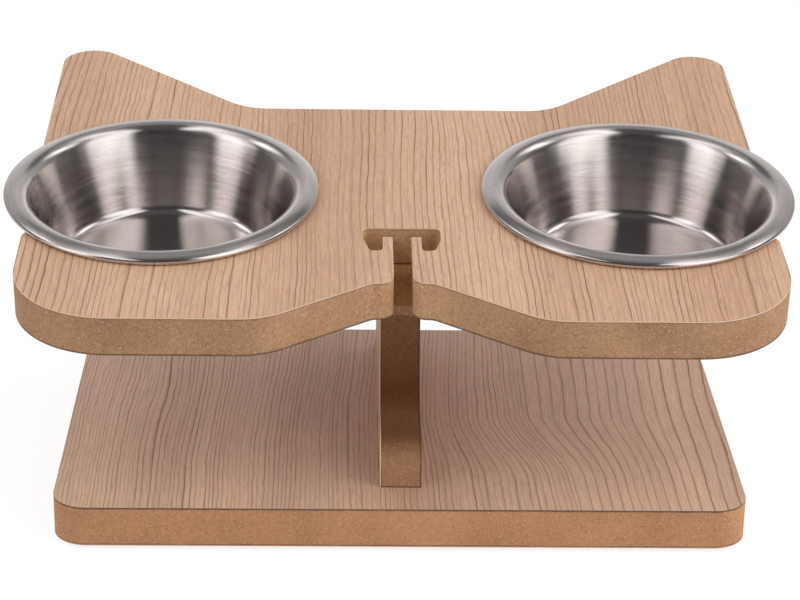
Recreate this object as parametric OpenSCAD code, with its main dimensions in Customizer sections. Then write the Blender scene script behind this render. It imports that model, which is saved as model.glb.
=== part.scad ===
// Raised double feeder stand with a cat-head top, made of three laminated boards and two lift-out bowls.
// Millimetres, +Z up, +Y to the back. The origin is on the floor under the middle of the stand.

/* [Boards] */
// thickness of the top, post and base boards
board_t = 18; // [15:0.5:22]
// thickness of the wood-grain sheet pressed onto each face of a board
veneer_t = 0.5; // [0.3:0.1:1]
// tilt of the top towards the animal, in degrees
tilt = 7; // [4:0.5:10]
// clear height from the base up to the front lower edge of the top
front_gap = 71; // [62:1:95]
// how far that edge stands in front of the base
front_lead = 1; // [0:0.5:10]

/* [Top outline] */
// width across the straight sides
top_w = 330; // [310:1:370]
// front edge to the straight back edge between the ears
back_l = 202; // [190:1:230]
// width of the back edge between the feet of the ears
brow_w = 145; // [120:1:170]
// slope of an ear's inner edge, in degrees
ear_slope = 42.7; // [35:0.1:50]
// radius of an ear's tip
ear_r = 14.6; // [8:0.1:20]
// radius where an ear runs into the back edge
brow_r = 28; // [10:1:40]
// radius of the front corners
cheek_r = 42; // [25:1:46]
// depth of the mouth recess in the front edge
mouth_l = 31; // [24:0.5:36]
// width of the mouth recess at the front edge
mouth_w = 117.4; // [100:1:130]
// width of the flat at the back of the mouth recess
lip_w = 25.8; // [24:0.2:32]
// radius where a cheek turns into the mouth
mouth_r = 32; // [15:1:40]

/* [Nose slot] */
// width of the stem that opens into the mouth
stem_w = 8.2; // [6:0.2:9]
// front edge of the top to the back of the nose
nose_l = 80; // [76:0.5:84]
// width of the nose
nose_w = 33.8; // [30:0.2:38]
// width of the bar across the back of the nose
bar_w = 8; // [6:0.5:10]
// length of a nostril, from the back of the nose
nostril_l = 20.4; // [18:0.2:24]
// width of a nostril's front end
nostril_w = 5.8; // [5:0.1:6.4]
// width of the tab between the stem and a nostril
tab_w = 4.3; // [3.5:0.1:5]
// radius of the two lips where the stem meets the mouth
stem_r = 6.5; // [3:0.5:6.5]
// radius of the nose's back corners
nose_r = 3; // [2:0.5:4]
// radius of the corners at a nostril's front end
nostril_r = 2.2; // [1:0.1:2.4]

/* [Bowls] */
// diameter over the rolled rim
bowl_d = 141; // [136:1:150]
// width of the flat rim, from the mouth to the rolled edge
rim_w = 10.25; // [8:0.25:12]
// diameter of the flat floor
bowl_floor = 95; // [80:1:100]
// depth from the rim to the floor
bowl_depth = 39; // [30:1:45]
// radius where the floor turns into the wall
floor_r = 5; // [3:0.5:8]
// radius where the wall turns into the rim, on the underside
lip_r = 5; // [2:0.5:6]
// sheet thickness
sheet_t = 0.8; // [0.6:0.1:1.2]
// radius of the rolled edge
curl_r = 1.7; // [1.5:0.1:2.2]
// front edge of the top to the line through the bowl centres
bowl_l = 114; // [108:1:120]
// play between a bowl and its seat
seat_play = 1.2; // [0.8:0.1:2]
// how far a seat breaks out through the side of the top
breakout = 4.3; // [2.5:0.1:7]
// radius of the horn tips beside the break-out
horn_r = 6; // [3:0.5:8]

/* [Base] */
// width of the base
base_w = 298; // [270:1:340]
// depth of the base, front to back
base_d = 193; // [180:1:230]
// corner radius of the base
base_r = 15; // [6:1:25]
// diameter of an anti-slip pad
pad_d = 22; // [16:1:28]
// thickness of an anti-slip pad
pad_t = 2; // [1.2:0.1:4]
// pad centre to the edges of the base
pad_inset = 24; // [18:1:34]

/* [Post] */
// set-back of the post's foot from the front and the back of the base
post_inset = 20.5; // [16:0.5:26]
// front edge of the top to the tip of the post, along the top
tip_l = 42.8; // [40:0.2:50]
// height of the tip's end face
tip_t = 4; // [3:0.5:6]
// base's front edge to the upright behind the hollow
web_y = 74; // [68:0.5:84]
// board left under the hollow
sole_t = 20; // [17:0.5:23]
// board left above the hollow
arm_t = 9; // [7:0.5:12]
// radius where the sole sweeps up into the upright
heel_r = 30; // [12:1:34]
// radius where the upright turns into the arm
crook_r = 10; // [6:0.5:14]
// radius of the rounded toe
toe_r = 12; // [8:0.5:16]

/* [Fixings] */
// dowel diameter
dowel_d = 8; // [6:1:10]
// dowel length
dowel_l = 30; // [24:1:34]
// depth of a dowel or cam bolt in the base or the top
plug_l = 10; // [8:0.5:12]
// back of the post to the rear dowel of its foot
rear_dowel_l = 30; // [26:1:36]
// back of the post to the front dowel of its foot
front_dowel_l = 58; // [52:1:64]
// back of the nose to the front dowel under the top
near_dowel_l = 42; // [38:1:46]
// back of the post to the rear dowel under the top
far_dowel_l = 32.8; // [30:0.2:36]
// shank diameter of the base screws
screw_d = 4; // [3.5:0.1:5]
// length of the base screws
screw_l = 32; // [26:1:34]
// back of the post to the rear screw
rear_screw_l = 12; // [9:0.5:16]
// back of the post to the middle screw
mid_screw_l = 76; // [70:1:84]
// diameter of a cam disc
cam_d = 15; // [14:0.5:16]
// lower face of the top to the centre of a cam disc
cam_reach = 24; // [22:0.5:30]
// back of the nose to the front cam bolt
near_cam_l = 24; // [20:1:28]
// back of the post to the rear cam bolt
far_cam_l = 14.8; // [12:0.2:17]
// thread diameter of a cam bolt
bolt_d = 6; // [5:0.5:7]
// shank diameter of a cam bolt
shank_d = 4.8; // [4:0.2:5.2]
// diameter of a cam bolt's head
bolt_head_d = 5.2; // [4.6:0.2:5.6]
// length of a cam bolt's head
bolt_head_l = 3.2; // [2.4:0.2:4]
// wall of a cam disc around the bolt's head
cam_wall = 2.6; // [2:0.2:3]
// play of a cam bolt in its disc and in the post
cam_play = 0.6; // [0.4:0.1:0.8]
// gap around a dowel, screw or cam disc in its hole
fit_gap = 0.1; // [0.05:0.01:0.2]

/* [Hidden] */
$fn = 96;

veneer_color = [0.80, 0.62, 0.44];
mdf_color = [0.64, 0.48, 0.34];
steel_color = [0.78, 0.78, 0.77];
zinc_color = [0.62, 0.63, 0.65];
beech_color = [0.84, 0.70, 0.50];
rubber_color = [0.16, 0.16, 0.16];

// Every arc is drawn this much too large, so that it crosses the edges it runs into.
nip = 0.01;

// Outline of the top, measured from its front edge.
half_w = top_w / 2;
ear_in = brow_w / 2;
apex_l = back_l + (half_w - ear_in) * tan(ear_slope);
ear_l = back_l + (half_w - ear_r - ear_in) * tan(ear_slope) - ear_r / cos(ear_slope) + ear_r;
core_t = board_t - 2 * veneer_t;

// The stand is centred on the floor between its foremost and rearmost edges.
y_min = min(0, -front_lead - board_t * sin(tilt));
y_max = max(base_d, ear_l * cos(tilt) - front_lead);
base_y = -(y_min + y_max) / 2;
base_z = pad_t + board_t;
top_y = base_y - front_lead;
top_z = base_z + front_gap;

// Bowl seat and the two horns beside it.
bowl_open = bowl_d - 2 * rim_w;
seat_r = bowl_open / 2 + sheet_t + seat_play;
bowl_x = half_w - seat_r + breakout;
horn_x = half_w - horn_r;
horn_dy = sqrt(pow(seat_r + horn_r, 2) - pow(horn_x - bowl_x, 2));

// Post profile, measured from the base's front edge and its upper face.
function under_top(y) = front_gap + (y + front_lead) * tan(tilt);
post_back = base_d - post_inset;
tip_y = tip_l * cos(tilt) - front_lead;
tip_z = under_top(tip_y);
toe_y = post_inset + toe_r;

// Places of the fixings: along the base from its front edge, and along the top from its front edge.
screw_y = [toe_y, post_back - mid_screw_l, post_back - rear_screw_l];
base_dowel_y = [post_back - front_dowel_l, post_back - rear_dowel_l];
post_l = (post_back + front_lead) / cos(tilt);
cam_l = [nose_l + near_cam_l, post_l - far_cam_l];
top_dowel_l = [nose_l + near_dowel_l, post_l - far_dowel_l];
head_d = 2 * screw_d;
head_h = head_d / 2 - screw_d / 2;
collar_d = bolt_d + 2 * cam_play;
neck_d = bolt_head_d - 2 * cam_play - 1;
neck_l = cam_d / 2 - cam_wall - cam_play;
cam_hollow = bolt_head_d + 2 * cam_play;
cam_h = (board_t + cam_hollow + cam_wall) / 2;

// Rounding of the corner a-b-c with radius r: the arc's centre and its two ends.
function unit(v) = v / norm(v);
function half_angle(a, b, c) = acos(unit(a - b) * unit(c - b)) / 2;
function arc_mid(a, b, c, r) = b + unit(unit(a - b) + unit(c - b)) * r / sin(half_angle(a, b, c));
function arc_end(a, b, c, r) = b + unit(a - b) * r / tan(half_angle(a, b, c));

// Wedge to cut from an outward corner.
module corner(a, b, c, r) {
    tip = b - unit(unit(a - b) + unit(c - b)) * 0.3;
    difference() {
        polygon([tip, arc_end(a, b, c, r), arc_mid(a, b, c, r), arc_end(c, b, a, r)]);
        translate(arc_mid(a, b, c, r)) circle(r + nip);
    }
}

// An inward corner is drawn through its arc's centre, and the disc is then cut away.
function inward(a, b, c, r) = [arc_end(a, b, c, r), arc_mid(a, b, c, r), arc_end(c, b, a, r)];
module disc(a, b, c, r) {
    translate(arc_mid(a, b, c, r)) circle(r + nip);
}

module both_sides() {
    children();
    mirror([1, 0, 0]) children();
}

module rounded_plate(w, d, r) {
    difference() {
        translate([-w / 2, 0]) square([w, d]);
        both_sides() {
            corner([0, 0], [w / 2, 0], [w / 2, d], r);
            corner([0, d], [w / 2, d], [w / 2, 0], r);
        }
    }
}

// Places a child drawn in the top's own frame: front edge along X, lower face at zero.
module on_top() {
    translate([0, top_y, top_z]) rotate([tilt, 0, 0]) children();
}

// Places a child drawn from the base's front edge and its upper face.
module on_base() {
    translate([0, base_y, base_z]) children();
}

// Stands a profile of depth and height up across the X axis between two planes.
module across(x0, x1) {
    translate([x0, 0, 0]) rotate([90, 0, 90]) linear_extrude(x1 - x0) children();
}

module cat_head() {
    inner = [lip_w / 2, mouth_l];
    outer = [mouth_w / 2, 0];
    front = [half_w, 0];
    apex = [half_w, apex_l];
    brow = [ear_in, back_l];
    half = concat(inward([0, mouth_l], inner, outer, stem_r), [outer, front, apex],
        inward(apex, brow, [0, back_l], brow_r));
    difference() {
        polygon(concat(half, [for (i = [len(half) - 1:-1:0]) [-half[i].x, half[i].y]]));
        both_sides() {
            disc([0, mouth_l], inner, outer, stem_r);
            disc(apex, brow, [0, back_l], brow_r);
            corner(inner, outer, front, mouth_r);
            corner(outer, front, apex, cheek_r);
            corner(front, apex, brow, ear_r);
        }
    }
}

module nose_slot() {
    s = stem_w / 2;
    t = s + tab_w;
    back = [nose_w / 2, nose_l];
    side = [nose_w / 2, nose_l - nostril_l / 2];
    end = [t + nostril_w, nose_l - nostril_l];
    translate([-s, mouth_l - 1]) square([stem_w, nose_l - mouth_l]);
    both_sides() {
        corner([s, nose_l], [s, mouth_l], [lip_w, mouth_l], stem_r * 0.95);
        difference() {
            polygon([[0, nose_l], back, side, end, [t, end.y], [t, nose_l - bar_w], [0, nose_l - bar_w]]);
            corner([0, nose_l], back, side, nose_r);
            corner(side, end, [t, end.y], nostril_r);
            corner(end, [t, end.y], [t, nose_l - bar_w], nostril_r);
        }
    }
}

module bowl_seat() {
    side = half_w + 5;
    horn_y = [bowl_l - horn_dy, bowl_l + horn_dy];
    touch = seat_r / (seat_r + horn_r) * [horn_x - bowl_x, horn_dy];
    difference() {
        union() {
            translate([bowl_x, bowl_l]) circle(seat_r);
            polygon([[bowl_x, bowl_l], [bowl_x + touch.x, bowl_l - touch.y], [horn_x, horn_y[0]],
                [side, horn_y[0]], [side, horn_y[1]], [horn_x, horn_y[1]],
                [bowl_x + touch.x, bowl_l + touch.y]]);
        }
        for (y = horn_y) translate([horn_x, y]) circle(horn_r + nip);
    }
}

module top_sheet(z0, z1) {
    translate([0, 0, z0]) linear_extrude(z1 - z0) difference() {
        cat_head();
        nose_slot();
        both_sides() bowl_seat();
    }
}

module post_profile() {
    beak = [tip_y, tip_z - tip_t];
    crook = [web_y, under_top(web_y) - arm_t];
    heel = [web_y, sole_t];
    toe = [post_inset, sole_t];
    difference() {
        polygon(concat([[post_inset, 0], [post_back, 0], [post_back, under_top(post_back)], [tip_y, tip_z], beak],
            inward(beak, crook, heel, crook_r), inward(crook, heel, toe, heel_r), [toe]));
        disc(beak, crook, heel, crook_r);
        intersection() {
            disc(crook, heel, toe, heel_r);
            translate(toe - [0, 1]) square([web_y, heel_r + 2]);
        }
        corner([post_inset, 0], toe, heel, toe_r);
    }
}

// Bodies of the fixings, also used with a gap as their holes.
module dowel(gap) {
    chamfer = 1;
    r = dowel_d / 2 + gap;
    translate([0, 0, -plug_l - gap]) {
        cylinder(h = chamfer, r1 = r - chamfer, r2 = r);
        translate([0, 0, chamfer]) cylinder(h = dowel_l - 2 * chamfer + 2 * gap, r = r);
        translate([0, 0, dowel_l - chamfer + 2 * gap]) cylinder(h = chamfer, r1 = r, r2 = r - chamfer);
    }
}

module screw(gap) {
    cylinder(h = head_h, r1 = head_d / 2 + gap, r2 = screw_d / 2 + gap);
    cylinder(h = screw_l - screw_d + gap, r = screw_d / 2 + gap);
    translate([0, 0, screw_l - screw_d + gap]) cylinder(h = screw_d, r1 = screw_d / 2 + gap, r2 = 0.3);
}

module base_dowel_set(gap) {
    for (y = base_dowel_y) on_base() translate([0, y, 0]) dowel(gap);
}

module screw_set(gap) {
    for (y = screw_y) on_base() translate([0, y, -board_t]) screw(gap);
}

module top_dowel_set(gap) {
    for (l = top_dowel_l) on_top() translate([0, l, 0]) rotate([180, 0, 0]) dowel(gap);
}

// Way of the cam bolts down through the post, and their threaded holes in the top.
module bolt_shafts() {
    for (l = cam_l) on_top() translate([0, l, -cam_reach])
        cylinder(h = cam_reach + 1, r = collar_d / 2 + fit_gap);
}

module bolt_threads() {
    for (l = cam_l) on_top() translate([0, l, -1]) cylinder(h = plug_l + 1 + fit_gap, r = bolt_d / 2 + fit_gap);
}

module cam_place() {
    for (l = cam_l) on_top() translate([board_t / 2, l, -cam_reach]) rotate([0, -90, 0]) children();
}

module pad(x, y) {
    color(rubber_color) translate([x, base_y + y, 0]) {
        cylinder(h = pad_t - 0.5, r1 = pad_d / 2 - 0.5, r2 = pad_d / 2);
        translate([0, 0, pad_t - 0.5]) cylinder(h = 0.5, r = pad_d / 2);
    }
}

module pad_front_left() {
    pad(pad_inset - base_w / 2, pad_inset);
}

module pad_front_right() {
    pad(base_w / 2 - pad_inset, pad_inset);
}

module pad_rear_left() {
    pad(pad_inset - base_w / 2, base_d - pad_inset);
}

module pad_rear_right() {
    pad(base_w / 2 - pad_inset, base_d - pad_inset);
}

module base_sheet(z0, z1) {
    difference() {
        on_base() translate([0, 0, z0]) linear_extrude(z1 - z0) rounded_plate(base_w, base_d, base_r);
        screw_set(fit_gap);
        base_dowel_set(fit_gap);
    }
}

module base_core() {
    color(mdf_color) base_sheet(veneer_t - board_t, -veneer_t);
}

module base_lower_veneer() {
    color(veneer_color) base_sheet(-board_t, veneer_t - board_t);
}

module base_upper_veneer() {
    color(veneer_color) base_sheet(-veneer_t, 0);
}

module base_screws() {
    color(zinc_color) difference() {
        screw_set(0);
        for (y = screw_y) on_base() translate([0, y, -board_t]) {
            cube([screw_d * 1.1, 0.9, 2.4], center = true);
            cube([0.9, screw_d * 1.1, 2.4], center = true);
        }
    }
}

module base_dowels() {
    color(beech_color) base_dowel_set(0);
}

module post_core() {
    color(mdf_color) difference() {
        on_base() across(veneer_t - board_t / 2, board_t / 2 - veneer_t) post_profile();
        screw_set(fit_gap);
        base_dowel_set(fit_gap);
        top_dowel_set(fit_gap);
        bolt_shafts();
        cam_place() cylinder(h = cam_h + fit_gap, r = cam_d / 2 + fit_gap);
    }
}

module post_left_veneer() {
    color(veneer_color) on_base() across(-board_t / 2, veneer_t - board_t / 2) post_profile();
}

module post_right_veneer() {
    color(veneer_color) difference() {
        on_base() across(board_t / 2 - veneer_t, board_t / 2) post_profile();
        cam_place() translate([0, 0, -1]) cylinder(h = cam_h, r = cam_d / 2 + fit_gap);
    }
}

module top_dowels() {
    color(beech_color) top_dowel_set(0);
}

// Bolt that hangs from the top: thread, collar, shank, neck and the head that the cam disc pulls on.
module cam_bolts() {
    color(zinc_color) for (l = cam_l) on_top() translate([0, l, 0]) {
        cylinder(h = plug_l, r = bolt_d / 2);
        translate([0, 0, -1]) cylinder(h = 1, r = collar_d / 2);
        translate([0, 0, neck_l - cam_reach]) cylinder(h = cam_reach - neck_l, r = shank_d / 2);
        translate([0, 0, -cam_reach]) cylinder(h = cam_reach - 1, r = neck_d / 2);
        translate([0, 0, -cam_reach - bolt_head_l / 2]) cylinder(h = bolt_head_l, r = bolt_head_d / 2);
    }
}

// Drum with a cross recess in its face, a hollow for the bolt's head and a slot for its shank.
module cam_discs() {
    color(zinc_color) cam_place() difference() {
        cylinder(h = cam_h, r = cam_d / 2);
        for (a = [45, 135]) rotate(a) cube([cam_d * 0.55, 1.4, 3], center = true);
        translate([0, 0, (board_t - cam_hollow) / 2]) cylinder(h = cam_hollow, r = cam_d / 2 - cam_wall);
        translate([0, 0, board_t / 2]) rotate(-50) rotate_extrude(angle = 230)
            translate([neck_l - cam_play, -shank_d / 2 - cam_play / 2])
                square([cam_d / 2, shank_d + cam_play]);
    }
}

module top_holes() {
    top_dowel_set(fit_gap);
    bolt_threads();
}

module top_core() {
    color(mdf_color) difference() {
        on_top() top_sheet(veneer_t, board_t - veneer_t);
        top_holes();
    }
}

module top_lower_veneer() {
    color(veneer_color) difference() {
        on_top() top_sheet(0, veneer_t);
        top_holes();
    }
}

module top_upper_veneer() {
    color(veneer_color) on_top() top_sheet(board_t - veneer_t, board_t);
}

// Pressed bowl: floor, flared wall, flat rim and an edge rolled under until it stands on the top.
module bowl_section() {
    rim_z = 2 * curl_r;
    rim_x = bowl_d / 2;
    curl_x = rim_x - curl_r;
    floor_z = rim_z - bowl_depth;
    f = [bowl_floor / 2, floor_z];
    m = [bowl_open / 2, rim_z];
    d = unit(m - f);
    n = [d.y, -d.x];
    f2 = f + sheet_t * n - d * sheet_t * (1 + n.y) / d.y;
    m2 = m + sheet_t * n - d * sheet_t * (1 + n.y) / d.y;
    mid = [0, floor_z];
    difference() {
        polygon(concat([mid], inward(mid, f, m, floor_r), [m, [rim_x, rim_z], [rim_x, 0],
            [curl_x - sheet_t, 0], [curl_x - sheet_t, sheet_t], [curl_x, sheet_t], [curl_x, rim_z - sheet_t]],
            inward([curl_x, m2.y], m2, f2, lip_r), [f2, [0, f2.y]]));
        disc(mid, f, m, floor_r);
        disc([curl_x, m2.y], m2, f2, lip_r);
        corner([0, f2.y], f2, m2, floor_r + sheet_t);
        corner(f, m, [rim_x, rim_z], lip_r + sheet_t);
        corner([0, rim_z], [rim_x, rim_z], [rim_x, 0], curl_r);
        corner([rim_x, rim_z], [rim_x, 0], [0, 0], curl_r);
        translate([curl_x, curl_r]) circle(curl_r - sheet_t);
    }
}

module bowl(x) {
    color(steel_color) on_top() translate([x, bowl_l, board_t + fit_gap]) rotate_extrude() bowl_section();
}

module left_bowl() {
    bowl(-bowl_x);
}

module right_bowl() {
    bowl(bowl_x);
}

pad_front_left();
pad_front_right();
pad_rear_left();
pad_rear_right();
base_core();
base_lower_veneer();
base_upper_veneer();
base_screws();
base_dowels();
post_core();
post_left_veneer();
post_right_veneer();
top_dowels();
cam_bolts();
cam_discs();
top_core();
top_lower_veneer();
top_upper_veneer();
left_bowl();
right_bowl();
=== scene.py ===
import math

import bmesh
import bpy
from mathutils import Euler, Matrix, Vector


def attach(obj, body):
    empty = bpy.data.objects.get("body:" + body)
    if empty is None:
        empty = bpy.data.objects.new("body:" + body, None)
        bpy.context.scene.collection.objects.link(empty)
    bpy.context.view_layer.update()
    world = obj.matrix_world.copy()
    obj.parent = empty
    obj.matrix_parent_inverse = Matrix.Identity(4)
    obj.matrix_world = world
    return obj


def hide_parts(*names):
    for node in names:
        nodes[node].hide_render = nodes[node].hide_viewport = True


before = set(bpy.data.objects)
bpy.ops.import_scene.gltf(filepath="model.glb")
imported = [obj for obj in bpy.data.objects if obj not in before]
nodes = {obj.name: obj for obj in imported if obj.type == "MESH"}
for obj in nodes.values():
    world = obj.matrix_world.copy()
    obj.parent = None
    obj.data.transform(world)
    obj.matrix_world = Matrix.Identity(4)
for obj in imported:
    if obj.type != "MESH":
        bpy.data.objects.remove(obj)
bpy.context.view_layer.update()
print("frame loaded:", len(nodes), "nodes")


# small helpers for node trees

def addNode(tree, kind, place=(0, 0), **settings):
    node = tree.nodes.new(kind)
    node.location = place
    for name, value in settings.items():
        setattr(node, name, value)
    return node


def setInput(tree, node, key, value):
    socket = node.inputs[key]
    if isinstance(value, bpy.types.NodeSocket):
        tree.links.new(value, socket)
    else:
        socket.default_value = value


def mathStep(tree, operation, a, b=None, c=None):
    node = addNode(tree, "ShaderNodeMath", operation=operation)
    for index, value in enumerate((a, b, c)):
        if value is not None:
            setInput(tree, node, index, value)
    return node.outputs[0]


def product(tree, first, *others):
    for other in others:
        first = mathStep(tree, "MULTIPLY", first, other)
    return first


def vectorStep(tree, operation, a, b=None):
    node = addNode(tree, "ShaderNodeVectorMath", operation=operation)
    setInput(tree, node, 0, a)
    if b is not None:
        setInput(tree, node, 1, b)
    return node.outputs["Value"] if operation in ("DOT_PRODUCT", "LENGTH") else node.outputs["Vector"]


def splitStep(tree, vector):
    node = addNode(tree, "ShaderNodeSeparateXYZ")
    setInput(tree, node, 0, vector)
    return node.outputs


def joinStep(tree, x=0.0, y=0.0, z=0.0):
    node = addNode(tree, "ShaderNodeCombineXYZ")
    for index, value in enumerate((x, y, z)):
        setInput(tree, node, index, value)
    return node.outputs[0]


def flatLength(tree, vector, axes):
    return vectorStep(tree, "LENGTH", vectorStep(tree, "MULTIPLY", vector, axes))


def mixColor(tree, factor, a, b, blend="MIX"):
    node = addNode(tree, "ShaderNodeMix", data_type="RGBA", blend_type=blend)
    setInput(tree, node, 0, factor)
    setInput(tree, node, 6, a)
    setInput(tree, node, 7, b)
    return node.outputs[2]


def mixValue(tree, factor, a, b):
    node = addNode(tree, "ShaderNodeMix", data_type="FLOAT")
    setInput(tree, node, 0, factor)
    setInput(tree, node, 2, a)
    setInput(tree, node, 3, b)
    return node.outputs[0]


def noiseStep(tree, vector, scale, detail=2.0, roughness=0.5):
    node = addNode(tree, "ShaderNodeTexNoise")
    setInput(tree, node, "Vector", vector)
    node.inputs["Scale"].default_value = scale
    node.inputs["Detail"].default_value = detail
    node.inputs["Roughness"].default_value = roughness
    return node.outputs["Fac"]


def rangeStep(tree, value, low, high, toLow=0.0, toHigh=1.0, smooth=False):
    node = addNode(tree, "ShaderNodeMapRange", clamp=True)
    node.interpolation_type = "SMOOTHSTEP" if smooth else "LINEAR"
    setInput(tree, node, "Value", value)
    node.inputs["From Min"].default_value = low
    node.inputs["From Max"].default_value = high
    node.inputs["To Min"].default_value = toLow
    node.inputs["To Max"].default_value = toHigh
    return node.outputs[0]


def newGroup(name, inputs, outputs):
    tree = bpy.data.node_groups.new(name, "ShaderNodeTree")
    for label, kind, value in inputs:
        socket = tree.interface.new_socket(label, in_out="INPUT", socket_type=kind)
        if value is not None:
            socket.default_value = value
    for label, kind in outputs:
        tree.interface.new_socket(label, in_out="OUTPUT", socket_type=kind)
    start = addNode(tree, "NodeGroupInput", (-900, 0))
    end = addNode(tree, "NodeGroupOutput", (900, 0))
    return tree, start.outputs, end.inputs


def placeGroup(tree, group, **values):
    node = addNode(tree, "ShaderNodeGroup", (-400, 0))
    node.node_tree = group
    for label, value in values.items():
        setInput(tree, node, label.replace("_", " "), value)
    return node.outputs


def newMaterial(name, roughness, metallic=0.0, specular=0.5):
    material = bpy.data.materials.new(name)
    material.use_nodes = True
    tree = material.node_tree
    shader = tree.nodes["Principled BSDF"]
    shader.inputs["Roughness"].default_value = roughness
    shader.inputs["Metallic"].default_value = metallic
    shader.inputs["Specular IOR Level"].default_value = specular
    coords = addNode(tree, "ShaderNodeTexCoord", (-900, 0))
    return material, tree, shader, coords.outputs["Object"]


def bareMaterial(name):
    material = bpy.data.materials.new(name)
    material.use_nodes = True
    tree = material.node_tree
    tree.nodes.clear()
    out = addNode(tree, "ShaderNodeOutputMaterial", (600, 0))
    return material, tree, out.inputs["Surface"]


def addBump(tree, shader, height, distance, strength):
    bump = addNode(tree, "ShaderNodeBump", (-150, -300))
    bump.inputs["Strength"].default_value = strength
    bump.inputs["Distance"].default_value = distance
    setInput(tree, bump, "Height", height)
    tree.links.new(bump.outputs["Normal"], shader.inputs["Normal"])


def addObject(name, data):
    thing = bpy.data.objects.new(name, data)
    bpy.context.scene.collection.objects.link(thing)
    return thing


def dress(material, *names):
    for name in names:
        for slot in nodes[name].material_slots:
            slot.material = material


# effects shared by several finishes

# a stretch is the noise's scale across the grain, its scale along it, its detail and its roughness
grainPlan = {
    "sway": (9.0, 4.5, 1.5),
    "ripple": (45.0, 24.0, 2.0), "rippleShare": 0.11,
    "tremble": (160.0, 110.0, 2.0), "trembleReach": 0.0007,
    "crowd": (17.0, 0.4, 1.0),
    "jostle": (90.0, 0.8, 2.0), "jostleReach": 2.6,
    "wideEase": 0.01, "wideSharper": 1.2, "wideWeight": 0.7,
    "lateRise": (0.12, 0.90), "lateFall": (0.93, 1.0), "ringWeight": (0.0, 0.9, 0.25, 1.0),
    "breaks": (420.0, 17.0, 3.0, 0.6), "breakRange": (0.30, 0.56, 0.45, 1.0),
    "fibre": (2300.0, 75.0, 3.0, 0.6), "fibreShade": (0.25, 0.75, 0.78, 1.20), "fibreHeight": 0.35,
    "pore": (1500.0, 150.0, 1.0), "poreRange": (0.62, 0.74), "poreShare": 0.26, "poreHeight": -0.4,
    "band": (26.0, 1.6, 2.5), "bandRange": (0.36, 0.66),
    "gloss": (0.2, 1.2, 0.44, 0.62),
}


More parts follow.
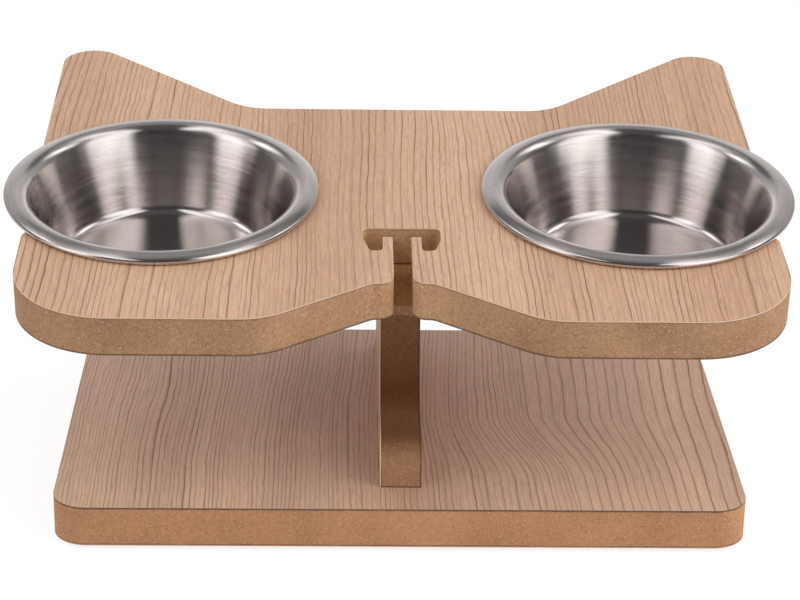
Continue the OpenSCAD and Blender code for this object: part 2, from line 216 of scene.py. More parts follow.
def makeGrainGroup(plan):
    # lines run along Y, rings are counted along X, and Spacing is in metres
    tree, given, out = newGroup("woodGrain", [
        ("Vector", "NodeSocketVector", None),
        ("Spacing", "NodeSocketFloat", 0.0026),
        ("Wander", "NodeSocketFloat", 0.006),
        ("Line Depth", "NodeSocketFloat", 0.6),
        ("Sharpness", "NodeSocketFloat", 7.0),
        ("Crowding", "NodeSocketFloat", 11.0),
        ("Wide From", "NodeSocketFloat", 100.0),
        ("Wide Spacing", "NodeSocketFloat", 0.006),
        ("Pale", "NodeSocketColor", (0.6, 0.4, 0.27, 1)),
        ("Warm", "NodeSocketColor", (0.5, 0.3, 0.2, 1)),
        ("Line", "NodeSocketColor", (0.2, 0.1, 0.06, 1)),
    ], [("Color", "NodeSocketColor"), ("Height", "NodeSocketFloat"), ("Roughness", "NodeSocketFloat")])
    where = given["Vector"]

    def stretched(vector, across, along, detail, roughness=0.5):
        spread = vectorStep(tree, "MULTIPLY", vector, (across, along, along))
        return noiseStep(tree, spread, 1.0, detail, roughness)

    def swayed(vector, stretch, reach, start):
        offset = mathStep(tree, "SUBTRACT", stretched(vector, *stretch), 0.5)
        return mathStep(tree, "MULTIPLY_ADD", offset, reach, start)

    spot = splitStep(tree, where)
    across = swayed(where, plan["sway"], given["Wander"], spot["X"])
    rippleReach = mathStep(tree, "MULTIPLY", given["Wander"], plan["rippleShare"])
    across = swayed(where, plan["ripple"], rippleReach, across)
    across = swayed(where, plan["tremble"], plan["trembleReach"], across)
    bent = joinStep(tree, across, spot["Y"], spot["Z"])
    # growth rings, crowded in some places and wide apart in others
    crowd = swayed(bent, plan["crowd"], given["Crowding"], 0.0)
    crowd = swayed(bent, plan["jostle"], plan["jostleReach"], crowd)
    counted = mathStep(tree, "MULTIPLY_ADD", crowd, given["Spacing"], across)
    close = mathStep(tree, "MINIMUM", counted, given["Wide From"])
    beyond = mathStep(tree, "MAXIMUM", mathStep(tree, "SUBTRACT", counted, given["Wide From"]), 0.0)
    closeRings = mathStep(tree, "DIVIDE", close, given["Spacing"])
    phase = mathStep(tree, "ADD", closeRings, mathStep(tree, "DIVIDE", beyond, given["Wide Spacing"]))
    ring = mathStep(tree, "FRACT", phase)
    wide = rangeStep(tree, beyond, 0.0, plan["wideEase"])
    sharper = mathStep(tree, "MULTIPLY_ADD", wide, plan["wideSharper"], 1.0)
    sharp = mathStep(tree, "MULTIPLY", given["Sharpness"], sharper)
    late = mathStep(tree, "POWER", rangeStep(tree, ring, *plan["lateRise"]), sharp)
    pick = addNode(tree, "ShaderNodeTexWhiteNoise", noise_dimensions="1D")
    setInput(tree, pick, "W", mathStep(tree, "FLOOR", phase))
    weight = rangeStep(tree, pick.outputs["Value"], *plan["ringWeight"])
    weight = mathStep(tree, "MAXIMUM", weight, mathStep(tree, "MULTIPLY", wide, plan["wideWeight"]))
    fade = rangeStep(tree, stretched(bent, *plan["breaks"]), *plan["breakRange"])
    mark = product(tree, late, rangeStep(tree, ring, *plan["lateFall"], 1.0, 0.0), weight, fade)
    # fibres and pores between the rings
    fibre = stretched(bent, *plan["fibre"])
    pore = rangeStep(tree, stretched(bent, *plan["pore"]), *plan["poreRange"])
    band = rangeStep(tree, stretched(bent, *plan["band"]), *plan["bandRange"])
    color = mixColor(tree, band, given["Pale"], given["Warm"])
    color = mixColor(tree, 1.0, color, rangeStep(tree, fibre, *plan["fibreShade"]), "MULTIPLY")
    color = mixColor(tree, mathStep(tree, "MULTIPLY", pore, plan["poreShare"]), color, given["Line"])
    color = mixColor(tree, mathStep(tree, "MULTIPLY", mark, given["Line Depth"]), color, given["Line"])
    tree.links.new(color, out["Color"])
    low = mathStep(tree, "SUBTRACT", mathStep(tree, "MULTIPLY", fibre, plan["fibreHeight"]), mark)
    tree.links.new(mathStep(tree, "MULTIPLY_ADD", pore, plan["poreHeight"], low), out["Height"])
    tree.links.new(rangeStep(tree, mathStep(tree, "ADD", mark, fibre), *plan["gloss"]), out["Roughness"])
    return tree


specklePlan = {
    "fine": (1900.0, 4.0, 0.7), "clump": (420.0, 3.0, 0.6), "cloud": (30.0, 2.0),
    "fineShare": 1.05, "clumpShare": 0.3, "cloudShare": 0.35, "toneRange": (0.62, 1.08),
    "fleck": (900.0, 1.0), "fleckRange": (0.66, 0.75), "fleckShare": 0.45,
    "fleckColor": (0.72, 0.52, 0.34, 1),
    "glueReach": 0.0006, "gluePatch": (160.0, 2.0), "patchRange": (0.3, 0.6, 0.35, 1.0),
}


def makeSpeckleGroup(plan):
    # pressed fibre board seen on a sawn edge, with the glue lines beside its faces
    tree, given, out = newGroup("fibreSpeckle", [
        ("Vector", "NodeSocketVector", None),
        ("Face Normal", "NodeSocketVector", (0.0, 0.0, 1.0)),
        ("Middle", "NodeSocketFloat", 0.0),
        ("Half Core", "NodeSocketFloat", 0.0085),
        ("Pale", "NodeSocketColor", (0.5, 0.3, 0.18, 1)),
        ("Dark", "NodeSocketColor", (0.25, 0.13, 0.07, 1)),
        ("Glue", "NodeSocketColor", (0.08, 0.045, 0.03, 1)),
    ], [("Color", "NodeSocketColor"), ("Height", "NodeSocketFloat")])
    where = given["Vector"]
    mixed = mathStep(tree, "MULTIPLY", noiseStep(tree, where, *plan["fine"]), plan["fineShare"])
    mixed = mathStep(tree, "MULTIPLY_ADD", noiseStep(tree, where, *plan["clump"]), plan["clumpShare"], mixed)
    mixed = mathStep(tree, "MULTIPLY_ADD", noiseStep(tree, where, *plan["cloud"]), plan["cloudShare"], mixed)
    color = mixColor(tree, rangeStep(tree, mixed, *plan["toneRange"]), given["Dark"], given["Pale"])
    fleck = rangeStep(tree, noiseStep(tree, where, *plan["fleck"]), *plan["fleckRange"])
    color = mixColor(tree, mathStep(tree, "MULTIPLY", fleck, plan["fleckShare"]), color, plan["fleckColor"])
    level = vectorStep(tree, "DOT_PRODUCT", where, given["Face Normal"])
    level = mathStep(tree, "ABSOLUTE", mathStep(tree, "SUBTRACT", level, given["Middle"]))
    reach = mathStep(tree, "SUBTRACT", given["Half Core"], level)
    glue = rangeStep(tree, reach, 0.0, plan["glueReach"], 1.0, 0.0)
    patch = rangeStep(tree, noiseStep(tree, where, *plan["gluePatch"]), *plan["patchRange"])
    color = mixColor(tree, mathStep(tree, "MULTIPLY", glue, patch), color, given["Glue"])
    tree.links.new(color, out["Color"])
    tree.links.new(mixed, out["Height"])
    return tree


brushPlan = {
    "turns": 7.0, "streak": (3.0, 0.6), "streakShare": 0.5,
    "broadStretch": (0.13, 0.13, 0.2), "broadDetail": 2.0, "broadShare": 0.5,
    "floorEdge": (0.0425, 0.0505), "floorStreak": 0.35, "floorRoughness": 0.72, "range": (0.3, 0.7),
}


def makeBrushGroup(plan):
    # fine turned lines round the Z axis of a piece
    tree, given, out = newGroup("turnedLines", [
        ("Vector", "NodeSocketVector", None),
        ("Fineness", "NodeSocketFloat", 5200.0),
        ("Low", "NodeSocketFloat", 0.22),
        ("High", "NodeSocketFloat", 0.36),
    ], [("Roughness", "NodeSocketFloat"), ("Height", "NodeSocketFloat"), ("Streak", "NodeSocketFloat")])
    spot = splitStep(tree, given["Vector"])
    radius = flatLength(tree, given["Vector"], (1.0, 1.0, 0.0))
    turn = mathStep(tree, "ARCTAN2", spot["Y"], spot["X"])
    lines = joinStep(
        tree,
        mathStep(tree, "MULTIPLY", radius, given["Fineness"]),
        mathStep(tree, "MULTIPLY", spot["Z"], given["Fineness"]),
        mathStep(tree, "MULTIPLY", turn, plan["turns"]),
    )
    streak = noiseStep(tree, lines, 1.0, *plan["streak"])
    spread = vectorStep(tree, "MULTIPLY", lines, plan["broadStretch"])
    broad = noiseStep(tree, spread, 1.0, plan["broadDetail"])
    both = mathStep(tree, "MULTIPLY", streak, plan["streakShare"])
    both = mathStep(tree, "MULTIPLY_ADD", broad, plan["broadShare"], both)
    # the floor is brushed finer than the wall
    share = rangeStep(tree, radius, *plan["floorEdge"], plan["floorStreak"], 1.0)
    both = mathStep(tree, "MULTIPLY_ADD", mathStep(tree, "SUBTRACT", both, 0.5), share, 0.5)
    span = mathStep(tree, "SUBTRACT", given["High"], given["Low"])
    rough = mathStep(tree, "MULTIPLY_ADD", rangeStep(tree, both, *plan["range"]), span, given["Low"])
    finer = rangeStep(tree, radius, *plan["floorEdge"], plan["floorRoughness"], 1.0)
    tree.links.new(mathStep(tree, "MULTIPLY", rough, finer), out["Roughness"])
    tree.links.new(streak, out["Height"])
    tree.links.new(both, out["Streak"])
    return tree


grainGroup = makeGrainGroup(grainPlan)
speckleGroup = makeSpeckleGroup(specklePlan)
brushGroup = makeBrushGroup(brushPlan)
print("shared effects ready")


# boards: the wood-grain sheets and the fibre-board edges

boardPlan = {
    "tilt": 7.0,
    "topFront": (0.0, -0.13221, 0.091),
    "boardThickness": 0.018,
    "sheetThickness": 0.0005,
    "baseTop": 0.020,
}
tilt = math.radians(boardPlan["tilt"])
upright = math.radians(90)
topNormal = Vector((0.0, -math.sin(tilt), math.cos(tilt)))
topMiddle = topNormal.dot(Vector(boardPlan["topFront"])) + boardPlan["boardThickness"] / 2
baseMiddle = boardPlan["baseTop"] - boardPlan["boardThickness"] / 2
coreHalf = boardPlan["boardThickness"] / 2 - boardPlan["sheetThickness"]

topVeneerLook = {
    "spacing": 0.0028, "wander": 0.016, "depth": 1.0, "sharpness": 7.5,
    "pale": (0.64, 0.412, 0.266, 1), "warm": (0.545, 0.331, 0.208, 1), "line": (0.17, 0.075, 0.04, 1),
    "turn": (-tilt, 0, 0), "shift": (0.37, 0.0, 0.0), "face": topNormal,
}
baseVeneerLook = {
    "spacing": 0.0020, "wander": 0.018, "depth": 1.0, "sharpness": 5.6,
    "wideFrom": 0.060, "wideSpacing": 0.0058, "crowding": 6.0,
    "bend": {"amount": 0.015, "middle": 0.070, "reach": 0.075, "rows": (-0.100, -0.035)},
    "pale": (0.635, 0.423, 0.30, 1), "warm": (0.525, 0.339, 0.237, 1), "line": (0.20, 0.095, 0.05, 1),
    "turn": (0, 0, 0), "shift": (1.21, 0.43, 0.0), "face": (0, 0, 1),
}
postVeneerLook = {
    "spacing": 0.0028, "wander": 0.010, "depth": 0.55, "sharpness": 6.0,
    "pale": (0.66, 0.44, 0.30, 1), "warm": (0.54, 0.33, 0.22, 1), "line": (0.21, 0.105, 0.06, 1),
    "turn": (upright, 0, upright), "shift": (2.4, 0.7, 0.3), "face": (1, 0, 0),
}
sheetPlan = {
    "roughness": 0.5, "specular": 0.35, "relief": (0.00006, 0.6), "rimFacing": (0.4, 0.6),
    # the entries on the next line set the painted highlight drawn along cream outlines
    "highlightRadius": 0.0005, "highlightSamples": 6, "highlightRange": (0.80, 0.98), "highlightShare": 0.9,
}
cutLook = {"cream": (0.68, 0.485, 0.335, 1), "tan": (0.50, 0.28, 0.15, 1), "dark": (0.13, 0.07, 0.045, 1)}


def bendGrain(tree, where, bend):
    # the lines swing aside towards the front
    spot = splitStep(tree, where)
    aside = mathStep(tree, "ABSOLUTE", mathStep(tree, "SUBTRACT", spot["X"], bend["middle"]))
    sway = rangeStep(tree, aside, 0.0, bend["reach"], bend["amount"], 0.0, True)
    swing = rangeStep(tree, spot["Y"], *bend["rows"], 1.0, 0.0, True)
    return vectorStep(tree, "SUBTRACT", where, joinStep(tree, mathStep(tree, "MULTIPLY", sway, swing)))


def cutRim(tree, color, face, cut):
    # the sheet's cut rim isn't grained, and on a cream one a painted highlight runs along the outline, a pale
    # line where a rounded arris would catch the light
    normal = addNode(tree, "ShaderNodeNewGeometry", (-700, -300)).outputs["True Normal"]
    facing = mathStep(tree, "ABSOLUTE", vectorStep(tree, "DOT_PRODUCT", normal, face))
    rim = rangeStep(tree, facing, *sheetPlan["rimFacing"], 1.0, 0.0)
    if cut == "cream":
        # painted highlight: the bevel shader finds the outline, which is then drawn pale
        soft = addNode(tree, "ShaderNodeBevel", (-700, -500), samples=sheetPlan["highlightSamples"])
        soft.inputs["Radius"].default_value = sheetPlan["highlightRadius"]
        edgeHighlight = vectorStep(tree, "DOT_PRODUCT", soft.outputs["Normal"], normal)
        edgeHighlight = rangeStep(tree, edgeHighlight, *sheetPlan["highlightRange"], sheetPlan["highlightShare"], 0.0)
        rim = mathStep(tree, "MAXIMUM", rim, edgeHighlight)
    return mixColor(tree, rim, color, cutLook[cut])


def veneerMaterial(name, look, cut=None):
    material, tree, shader, where = newMaterial(name, sheetPlan["roughness"], specular=sheetPlan["specular"])
    if "bend" in look:
        where = bendGrain(tree, where, look["bend"])
    mapping = addNode(tree, "ShaderNodeMapping", (-700, 0))
    setInput(tree, mapping, "Vector", where)
    mapping.inputs["Rotation"].default_value = look["turn"]
    mapping.inputs["Location"].default_value = look["shift"]
    wide = {}
    if "wideFrom" in look:
        wide["Wide_From"] = look["shift"][0] + look["wideFrom"]
        wide["Wide_Spacing"] = look["wideSpacing"]
        wide["Crowding"] = look["crowding"]
    grain = placeGroup(tree, grainGroup, Vector=mapping.outputs[0], Spacing=look["spacing"],
                       Wander=look["wander"], Line_Depth=look["depth"], Sharpness=look["sharpness"],
                       Pale=look["pale"], Warm=look["warm"], Line=look["line"], **wide)
    color = grain["Color"]
    if cut is not None:
        color = cutRim(tree, color, look["face"], cut)
    tree.links.new(color, shader.inputs["Base Color"])
    tree.links.new(grain["Roughness"], shader.inputs["Roughness"])
    addBump(tree, shader, grain["Height"], *sheetPlan["relief"])
    return material


edgePlan = {"roughness": 0.78, "specular": 0.2, "relief": (0.00012, 0.7)}
edgeLook = {
    "top": {"pale": (0.53, 0.32, 0.18, 1), "dark": (0.22, 0.112, 0.053, 1), "glue": (0.10, 0.055, 0.035, 1),
            "face": topNormal, "middle": topMiddle},
    "base": {"pale": (0.60, 0.33, 0.175, 1), "dark": (0.32, 0.155, 0.072, 1), "glue": (0.06, 0.035, 0.025, 1),
             "face": (0, 0, 1), "middle": baseMiddle},
    # painted shade: the post's edge is the same board as the top's and the base's, its colours set darker
    # because it stands in shade under the top
    "post": {"pale": (0.44, 0.25, 0.135, 1), "dark": (0.22, 0.11, 0.05, 1), "glue": (0.10, 0.055, 0.035, 1),
             "face": (1, 0, 0), "middle": 0.0},
}
# painted shade in the post's hollow, painted light on its seat under the top, and a dark line along its foot
postShadeAndLightLook = {
    "middle": (0.0, -0.0872, 0.070), "reach": (0.029, 0.047), "rows": (0.045, 0.095),
    "shadeTint": (0.36, 0.225, 0.105, 1),
    "floor": (0.0, -0.085, 0.0415), "floorReach": (0.004, 0.018), "floorShare": 0.62,
    "seat": (1.50, 1.45, 1.14, 1), "seatFacing": (0.9, 0.98), "seatRows": (0.088, 0.092),
    "foot": (0.06, 0.025, 0.015, 1), "footRows": (0.0202, 0.0207),
}
# painted light on the walls of the nose slot
slotLightLook = {
    "sides": (0.0185, 0.0305), "front": (-0.111, -0.095), "back": (-0.045, -0.044),
    "lift": (1.43, 1.50, 1.49, 1),
}


def paintPostShadeAndLight(tree, where, color, look):
    # painted shade: the post's front edge is darkened inside its hollow, less so on the hollow's floor

    def awayFrom(point):
        return flatLength(tree, vectorStep(tree, "SUBTRACT", where, point), (0.0, 1.0, 1.0))

    height = splitStep(tree, where)["Z"]
    inside = product(
        tree,
        rangeStep(tree, awayFrom(look["middle"]), *look["reach"], 1.0, 0.0),
        rangeStep(tree, awayFrom(look["floor"]), *look["floorReach"], look["floorShare"], 1.0),
        rangeStep(tree, height, *look["rows"], 1.0, 0.0),
    )
    # the painted shade is multiplied in here
    color = mixColor(tree, inside, color, look["shadeTint"], "MULTIPLY")
    # painted light makes the seat under the top paler where it shows through the slot, and a dark line is
    # drawn along the foot
    normal = addNode(tree, "ShaderNodeNewGeometry").outputs["True Normal"]
    facing = vectorStep(tree, "DOT_PRODUCT", normal, topNormal)
    seat = rangeStep(tree, facing, *look["seatFacing"])
    seat = product(tree, seat, rangeStep(tree, height, *look["seatRows"]))
    color = mixColor(tree, seat, color, look["seat"], "MULTIPLY")
    return mixColor(tree, rangeStep(tree, height, *look["footRows"], 1.0, 0.0), color, look["foot"])


def paintSlotLight(tree, where, color, look):
    # painted light: the walls of the nose slot, which sit in shade, are made paler than the outline
    spot = splitStep(tree, where)
    inside = product(
        tree,
        rangeStep(tree, mathStep(tree, "ABSOLUTE", spot["X"]), *look["sides"], 1.0, 0.0),
        rangeStep(tree, spot["Y"], *look["front"]),
        rangeStep(tree, spot["Y"], *look["back"], 1.0, 0.0),
    )
    return mixColor(tree, inside, color, look["lift"], "MULTIPLY")


def edgeMaterial(name, look, addPaintedLightAndShade=None, paintedLightAndShadeLook=None):
    material, tree, shader, where = newMaterial(name, edgePlan["roughness"], specular=edgePlan["specular"])
    speckle = placeGroup(tree, speckleGroup, Vector=where, Face_Normal=look["face"], Middle=look["middle"],
                         Half_Core=coreHalf, Pale=look["pale"], Dark=look["dark"], Glue=look["glue"])
    color = speckle["Color"]
    if addPaintedLightAndShade is not None:
        # the given function adds painted shade and painted light to the colour
        color = addPaintedLightAndShade(tree, where, color, paintedLightAndShadeLook)
    tree.links.new(color, shader.inputs["Base Color"])
    addBump(tree, shader, speckle["Height"], *edgePlan["relief"])
    return material


dress(veneerMaterial("topVeneer", topVeneerLook, "cream"), "top_upper_veneer")
dress(veneerMaterial("underVeneer", topVeneerLook, "dark"), "top_lower_veneer")
dress(veneerMaterial("baseVeneer", baseVeneerLook, "dark"), "base_upper_veneer")
dress(veneerMaterial("soleVeneer", baseVeneerLook, "tan"), "base_lower_veneer")
dress(veneerMaterial("postVeneer", postVeneerLook, "cream"), "post_left_veneer")
dress(veneerMaterial("farVeneer", postVeneerLook, "dark"), "post_right_veneer")
dress(edgeMaterial("topEdge", edgeLook["top"], paintSlotLight, slotLightLook), "top_core")
dress(edgeMaterial("baseEdge", edgeLook["base"]), "base_core")
dress(edgeMaterial("postShadedEdge", edgeLook["post"], paintPostShadeAndLight, postShadeAndLightLook), "post_core")
print("boards dressed")


# bowls: turned from a section drawn from bowlPlan, with a soft shoulder and a slightly convex rim

bowlPlan = {
    "outside": 0.141, "opening": 0.1205, "floor": 0.095, "floorLevel": -0.0356, "sheet": 0.0008,
    "lip": 0.00365, "shoulder": 0.006, "rimSlope": 18.0, "roll": 0.0014, "floorRound": 0.005,
    "across": 0.10705, "along": 0.114, "lift": 0.0001,
    "segments": 256, "roundSteps": 12, "shoulderSteps": 14, "rollSteps": 24,
    "floorRings": (0.0, 0.014, 0.027, 0.038, 0.042),
    "wallShares": (0.2, 0.35, 0.5, 0.65, 0.75),
    "rimShares": (0.17, 0.33, 0.5, 0.67, 0.83),
}


def roundCorner(before, corner, after, radius, count):
    a, b, c = Vector(before), Vector(corner), Vector(after)
    u, v = (a - b).normalized(), (c - b).normalized()
    half = u.angle(v) / 2
    centre = b + (u + v).normalized() * radius / math.sin(half)
    start = b + u * radius / math.tan(half) - centre
    sweep = math.pi - 2 * half
    side = 1 if u.x * v.y - u.y * v.x < 0 else -1
    points = []
    for index in range(count + 1):
        angle = side * sweep * index / count
        turned = Vector((start.x * math.cos(angle) - start.y * math.sin(angle),
                         start.x * math.sin(angle) + start.y * math.cos(angle)))
        points.append(centre + turned)
    return points


def bowlProfile(plan):
    # the inside from the middle of the floor to the end of the rolled rim, then the outside back again
    floorZ, roll = plan["floorLevel"], plan["roll"]
    slope = math.radians(plan["rimSlope"])
    foot = Vector((plan["floor"] / 2, floorZ))
    lip = Vector((plan["opening"] / 2, plan["lip"]))
    level = lip + Vector((1.0, 0.0))
    hub = Vector((plan["outside"] / 2 - roll, roll))
    meet = hub + roll * Vector((math.sin(slope), math.cos(slope)))
    inside = [Vector((x, floorZ)) for x in plan["floorRings"]]
    inside += roundCorner((0, floorZ), foot, lip, plan["floorRound"], plan["roundSteps"])
    inside += [foot.lerp(lip, share) for share in plan["wallShares"]]
    inside += roundCorner(foot, lip, level, plan["shoulder"], plan["shoulderSteps"])
    start = inside[-1]
    for share in plan["rimShares"]:
        x = start.x + (meet.x - start.x) * share
        inside.append(Vector((x, start.y + (meet.y - start.y) * share * share)))
    for index in range(plan["rollSteps"] + 1):
        angle = math.pi / 2 - slope - (1.5 * math.pi - slope) * index / plan["rollSteps"]
        inside.append(hub + roll * Vector((math.cos(angle), math.sin(angle))))
    outside = []
    for index, point in enumerate(inside):
        along = (inside[min(index + 1, len(inside) - 1)] - inside[max(index - 1, 0)]).normalized()
        outside.append(point + plan["sheet"] * Vector((along.y, -along.x)))
    return inside + outside[::-1]


def turnBowl(name, x, plan):
    mesh = bpy.data.meshes.new(name)
    bm = bmesh.new()
    count = plan["segments"]
    circle = [2 * math.pi * k / count for k in range(count)]
    onAxis = 1e-9
    rings = []
    for point in bowlProfile(plan):
        if point.x < onAxis:
            corners = [(0, 0, point.y)]
        else:
            corners = [(point.x * math.cos(a), point.x * math.sin(a), point.y) for a in circle]
        rings.append([bm.verts.new(corner) for corner in corners])
    for low, high in zip(rings, rings[1:]):
        for k in range(count):
            j = (k + 1) % count
            if len(low) == 1:
                bm.faces.new((low[0], high[k], high[j]))
            elif len(high) == 1:
                bm.faces.new((low[k], high[0], low[j]))
            else:
                bm.faces.new((low[k], high[k], high[j], low[j]))
    bmesh.ops.recalc_face_normals(bm, faces=bm.faces)
    for face in bm.faces:
        face.smooth = True
    bm.to_mesh(mesh)
    bm.free()
    bowl = addObject(name, mesh)
    along, up = plan["along"], boardPlan["boardThickness"] + plan["lift"]
    y = along * math.cos(tilt) - up * math.sin(tilt)
    z = along * math.sin(tilt) + up * math.cos(tilt)
    bowl.location = Vector(boardPlan["topFront"]) + Vector((x, y, z))
    bowl.rotation_euler = (tilt, 0, 0)
    return bowl


steelLook = {
    "color": (0.742, 0.685, 0.662, 1), "shadeColor": (0.523, 0.475, 0.457, 1), "streakRange": (0.3, 0.7),
    "fineness": 2400.0, "roughness": 0.28, "low": 0.12, "high": 0.21,
    "anisotropy": 1.0, "quarterTurn": 0.25, "relief": (0.000003, 1.0),
}


def steelMaterial(name, look):
    material, tree, shader, where = newMaterial(name, look["roughness"], 1.0)
    lines = placeGroup(tree, brushGroup, Vector=where, Fineness=look["fineness"],
                       Low=look["low"], High=look["high"])
    streak = rangeStep(tree, lines["Streak"], *look["streakRange"])
    tree.links.new(mixColor(tree, streak, look["shadeColor"], look["color"]), shader.inputs["Base Color"])
    tree.links.new(lines["Roughness"], shader.inputs["Roughness"])
    shader.inputs["Anisotropic"].default_value = look["anisotropy"]
    shader.inputs["Anisotropic Rotation"].default_value = look["quarterTurn"]
    tangent = addNode(tree, "ShaderNodeTangent", (-400, -300), direction_type="RADIAL", axis="Z")
    tree.links.new(tangent.outputs[0], shader.inputs["Tangent"])
    addBump(tree, shader, lines["Height"], *look["relief"])
    return material


brushedSteel = steelMaterial("brushedSteel", steelLook)
for side, sign in (("left", -1), ("right", 1)):
    bowl = turnBowl(side + "Bowl", sign * bowlPlan["across"], bowlPlan)
    bowl.data.materials.append(brushedSteel)
    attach(bowl, side + "_bowl")
    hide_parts(side + "_bowl")
print("bowls turned")


# fixings and pads

zincLook = {
    "base": {"roughness": 0.4, "metallic": 1.0},
    "colors": ((0.40, 0.41, 0.44, 1), (0.55, 0.56, 0.58, 1)),
    "cloud": (700.0, 3.0), "cloudRange": (0.35, 0.65), "roughRange": (0.3, 0.7, 0.3, 0.5),
    "grit": (2600.0, 2.0), "relief": (0.00002, 0.6),
}
rubberLook = {
    "base": {"roughness": 0.85, "specular": 0.3},
    "colors": ((0.028, 0.028, 0.029, 1), (0.07, 0.068, 0.066, 1)),
    "cloud": (260.0, 4.0), "cloudRange": (0.45, 0.75), "roughRange": (0.3, 0.7, 0.75, 0.92),
    "grit": (1800.0, 2.0), "relief": (0.00008, 0.7),
}
beechLook = {
    "spacing": 0.0012, "wander": 0.002, "depth": 0.3, "sharpness": 4.0,
    "pale": (0.66, 0.46, 0.27, 1), "warm": (0.55, 0.36, 0.20, 1), "line": (0.36, 0.20, 0.10, 1),
    "turn": (upright, 0, 0), "shift": (0.2, 0.1, 0.0),
}


def cloudedMaterial(name, look):
    material, tree, shader, where = newMaterial(name, **look["base"])
    cloud = noiseStep(tree, where, *look["cloud"])
    color = mixColor(tree, rangeStep(tree, cloud, *look["cloudRange"]), *look["colors"])
    tree.links.new(color, shader.inputs["Base Color"])
    tree.links.new(rangeStep(tree, cloud, *look["roughRange"]), shader.inputs["Roughness"])
    addBump(tree, shader, noiseStep(tree, where, *look["grit"]), *look["relief"])
    return material


dress(cloudedMaterial("zincPlate", zincLook), "base_screws", "cam_bolts", "cam_discs")
dress(veneerMaterial("beechDowel", beechLook), "base_dowels", "top_dowels")
padNames = [f"pad_{end}_{side}" for end in ("front", "rear") for side in ("left", "right")]
dress(cloudedMaterial("padRubber", rubberLook), *padNames)
print("fixings and pads dressed")


# floor, lamps, world and camera

floorPlan = {"size": 12.0, "whiteLevel": 0.83, "shadowShare": 0.24, "bounce": 0.80}


def seenDirectly(tree):
    path = addNode(tree, "ShaderNodeLightPath", (-600, 300))
    seen = mathStep(tree, "MAXIMUM", path.outputs["Is Camera Ray"], path.outputs["Is Glossy Ray"])
    return mathStep(tree, "MAXIMUM", seen, path.outputs["Is Transmission Ray"])


def grey(level):
    return (level, level, level, 1)


def makeFloor(plan):
    mesh = bpy.data.meshes.new("studioFloor")
    half = plan["size"] / 2
    corners = [(-half, -half, 0), (half, -half, 0), (half, half, 0), (-half, half, 0)]
    mesh.from_pydata(corners, [], [(0, 1, 2, 3)])
    floor = addObject("studioFloor", mesh)
    material, tree, surface = bareMaterial("floorPaper")
    bounce = addNode(tree, "ShaderNodeBsdfDiffuse", (-200, -200))
    bounce.inputs["Color"].default_value = grey(plan["bounce"])
    catch = addNode(tree, "ShaderNodeBsdfDiffuse", (-200, 0))
    catch.inputs["Color"].default_value = grey(plan["shadowShare"])
    glow = addNode(tree, "ShaderNodeEmission", (-200, 200))
    glow.inputs["Strength"].default_value = plan["whiteLevel"]
    both = addNode(tree, "ShaderNodeAddShader", (0, 100))
    tree.links.new(catch.outputs[0], both.inputs[0])
    tree.links.new(glow.outputs[0], both.inputs[1])
    pick = addNode(tree, "ShaderNodeMixShader", (300, 0))
    tree.links.new(seenDirectly(tree), pick.inputs[0])
    tree.links.new(bounce.outputs[0], pick.inputs[1])
    tree.links.new(both.outputs[0], pick.inputs[2])
    tree.links.new(pick.outputs[0], surface)
    mesh.materials.append(material)


makeFloor(floorPlan)

lampPlan = {
    "target": (0.0, 0.0, 0.09), "tint": (1.0, 0.945, 0.86), "height": 1.0, "distance": 0.95,
    "lamps": {
        "softLeft": {"azimuth": -66.0, "elevation": 34.0, "width": 0.72, "power": 2.6},
        "softRight": {"azimuth": 58.0, "elevation": 32.0, "width": 0.80, "power": 4.2},
    },
}


def addLamp(name, lampLook, plan):
    data = bpy.data.lights.new(name, "AREA")
    data.shape = "RECTANGLE"
    data.size, data.size_y = lampLook["width"], plan["height"]
    data.energy = lampLook["power"]
    data.color = plan["tint"]
    lamp = addObject(name, data)
    a, e = math.radians(lampLook["azimuth"]), math.radians(lampLook["elevation"])
    back = Vector((math.sin(a) * math.cos(e), -math.cos(a) * math.cos(e), math.sin(e)))
    lamp.location = Vector(plan["target"]) + back * plan["distance"]
    lamp.rotation_euler = (-back).to_track_quat("-Z", "Y").to_euler()
    lamp.visible_glossy = False


for lampName, lampLook in lampPlan["lamps"].items():
    addLamp(lampName, lampLook, lampPlan)

# a round screen that only reflections see: bright and dark sides shape the sheen of the metal
screenPlan = {
    "radius": 1.9, "height": 2.4, "sides": 72, "step": (0.75, 1.15), "upperStep": (1.50, 1.85),
    "roofGap": (0.48, 0.68), "roofFall": (0.75, 1.6), "roofBack": (0.45, 0.9), "roofDim": (0.45, 1.0),
    "roofEdge": (1.78, 1.84), "gapLevel": 0.10, "gapBackLevel": 0.42,
    "nearLevel": 1.75, "nearBackLevel": 0.25, "farLevel": 0.5,
    # azimuth, then the level near the floor, at the middle and high up
    "stops": [
        (-180, 0.95, 0.62, 0.16), (-166, 0.95, 0.60, 0.16), (-154, 0.75, 0.50, 0.16),
        (-140, 0.50, 0.46, 0.30), (-125, 0.40, 0.40, 1.60), (-110, 0.27, 0.30, 2.60),
        (-97, 0.13, 0.13, 1.80), (-89, 0.08, 0.08, 0.30), (-80, 0.9, 0.9, 0.9),
        (-66, 1.75, 1.75, 1.75), (-54, 1.5, 1.5, 1.5), (-42, 0.12, 0.12, 0.12),
        (-20, 0.05, 0.05, 0.05), (8, 0.05, 0.05, 0.05), (20, 0.08, 0.08, 0.08),
        (32, 1.45, 1.45, 1.45), (46, 1.75, 1.75, 1.75), (64, 1.4, 1.4, 1.4),
        (74, 0.3, 0.3, 0.3), (82, 0.07, 0.07, 0.30), (95, 0.12, 0.12, 1.80),
        (110, 0.27, 0.30, 2.60), (125, 0.40, 0.40, 1.60), (140, 0.50, 0.46, 0.30),
        (154, 0.75, 0.50, 0.16), (166, 0.95, 0.60, 0.16), (180, 0.95, 0.62, 0.16),
    ],
}


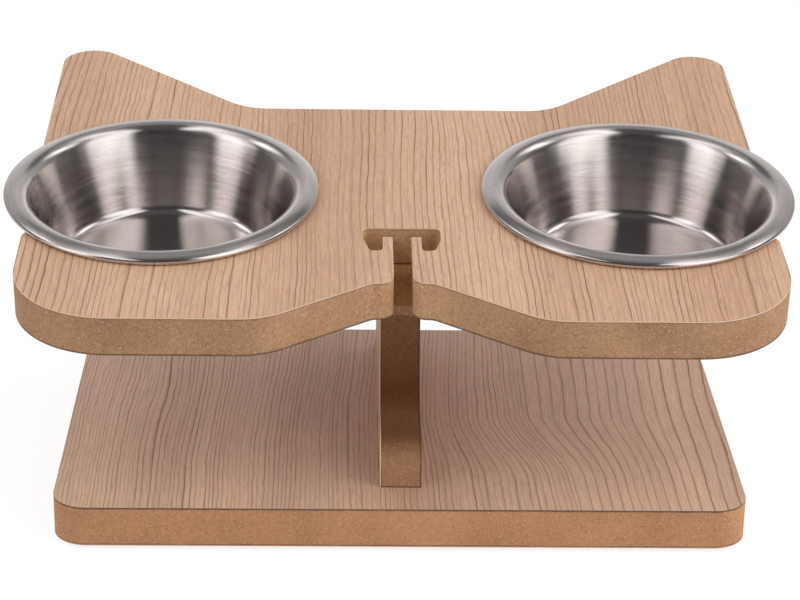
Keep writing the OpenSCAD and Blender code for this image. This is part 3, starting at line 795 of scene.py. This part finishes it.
def levelRamp(tree, turn, stops, row):
    ramp = addNode(tree, "ShaderNodeValToRGB")
    setInput(tree, ramp, "Fac", rangeStep(tree, turn, -math.pi, math.pi))
    ramp.color_ramp.interpolation = "EASE"
    marks = ramp.color_ramp.elements
    for stop in stops[1:-1]:
        marks.new((stop[0] + 180.0) / 360.0)
    for mark, stop in zip(marks, stops):
        mark.color = grey(stop[row])
    return ramp.outputs["Color"]


def screenColor(tree, plan):
    coords = addNode(tree, "ShaderNodeTexCoord", (-900, 0))
    spot = splitStep(tree, coords.outputs["Object"])
    turn = mathStep(tree, "ARCTAN2", spot["X"], mathStep(tree, "MULTIPLY", spot["Y"], -1.0))
    low, middle, high = [levelRamp(tree, turn, plan["stops"], row) for row in (1, 2, 3)]
    wall = mixColor(tree, rangeStep(tree, spot["Z"], *plan["step"]), low, middle)
    wall = mixColor(tree, rangeStep(tree, spot["Z"], *plan["upperStep"]), wall, high)
    # overhead, two bright halves with a dark gap between them
    aside = mathStep(tree, "ABSOLUTE", spot["X"])
    toBack = rangeStep(tree, spot["Y"], *plan["roofBack"])
    gap = mixColor(tree, toBack, grey(plan["gapLevel"]), grey(plan["gapBackLevel"]))
    toDim = rangeStep(tree, spot["Y"], *plan["roofDim"])
    near = mixColor(tree, toDim, grey(plan["nearLevel"]), grey(plan["nearBackLevel"]))
    roof = mixColor(tree, rangeStep(tree, aside, *plan["roofFall"]), near, grey(plan["farLevel"]))
    roof = mixColor(tree, rangeStep(tree, aside, *plan["roofGap"]), gap, roof)
    reach = flatLength(tree, coords.outputs["Object"], (1.0, 1.0, 0.0))
    return mixColor(tree, rangeStep(tree, reach, *plan["roofEdge"]), roof, wall)


def addScreen(plan):
    mesh = bpy.data.meshes.new("studioScreen")
    count = plan["sides"]
    radius, height = plan["radius"], plan["height"]
    circle = [2 * math.pi * k / count for k in range(count)]
    corners = [(radius * math.sin(a), radius * math.cos(a), z) for z in (0.0, height) for a in circle]
    corners.append((0.0, 0.0, height))
    faces = [(k, (k + 1) % count, (k + 1) % count + count, k + count) for k in range(count)]
    faces += [(k + count, (k + 1) % count + count, 2 * count) for k in range(count)]
    mesh.from_pydata(corners, [], faces)
    screen = addObject("studioScreen", mesh)
    material, tree, surface = bareMaterial("studioScreen")
    glow = addNode(tree, "ShaderNodeEmission", (300, 0))
    tree.links.new(screenColor(tree, plan), glow.inputs["Color"])
    tree.links.new(glow.outputs[0], surface)
    mesh.materials.append(material)
    screen.visible_camera = False
    screen.visible_diffuse = False
    screen.visible_shadow = False
    screen.visible_transmission = False


addScreen(screenPlan)

worldPlan = {
    "front": 0.22, "left": 1.0, "right": 1.7, "back": 0.95, "up": 0.57, "tint": (0.99, 0.98, 1.02, 1),
    "ease": (-0.3, 0.3), "asideRange": (0.25, 0.8), "upRange": (0.35, 0.8),
}


def makeWorld(plan):
    world = bpy.data.worlds.new("studioWorld")
    bpy.context.scene.world = world
    world.use_nodes = True
    tree = world.node_tree
    tree.nodes.clear()
    out = addNode(tree, "ShaderNodeOutputWorld", (400, 0))
    # the fill light comes from the sides and the back, little of it from the front
    coords = addNode(tree, "ShaderNodeTexCoord", (-1000, -300))
    spot = splitStep(tree, coords.outputs["Generated"])
    depth = rangeStep(tree, spot["Y"], *plan["ease"], plan["front"], plan["back"])
    sides = rangeStep(tree, spot["X"], *plan["ease"], plan["left"], plan["right"])
    aside = rangeStep(tree, mathStep(tree, "ABSOLUTE", spot["X"]), *plan["asideRange"])
    level = mixValue(tree, aside, depth, sides)
    level = mixValue(tree, rangeStep(tree, spot["Z"], *plan["upRange"]), level, plan["up"])
    fill = addNode(tree, "ShaderNodeBackground", (-200, -100))
    fill.inputs["Color"].default_value = plan["tint"]
    tree.links.new(level, fill.inputs["Strength"])
    white = addNode(tree, "ShaderNodeBackground", (-200, 100))
    white.inputs["Color"].default_value = grey(1.0)
    pick = addNode(tree, "ShaderNodeMixShader", (200, 0))
    tree.links.new(seenDirectly(tree), pick.inputs[0])
    tree.links.new(fill.outputs[0], pick.inputs[1])
    tree.links.new(white.outputs[0], pick.inputs[2])
    tree.links.new(pick.outputs[0], out.inputs["Surface"])


makeWorld(worldPlan)

cameraPlan = {
    "place": (-0.02775, -1.05563, 0.50072), "turn": (67.4266, -0.9696, -1.1770),
    "lens": 110.0, "sensor": 36.0, "clip": (0.01, 60.0),
}


def addCamera(plan):
    data = bpy.data.cameras.new("photoCamera")
    data.sensor_width = plan["sensor"]
    data.lens = plan["lens"]
    data.clip_start, data.clip_end = plan["clip"]
    camera = addObject("photoCamera", data)
    camera.location = plan["place"]
    camera.rotation_euler = Euler([math.radians(a) for a in plan["turn"]], "XYZ")
    return camera


bpy.context.scene.camera = addCamera(cameraPlan)
bpy.context.scene.view_settings.view_transform = "Standard"
print("studio ready")

bpy.context.view_layer.update()
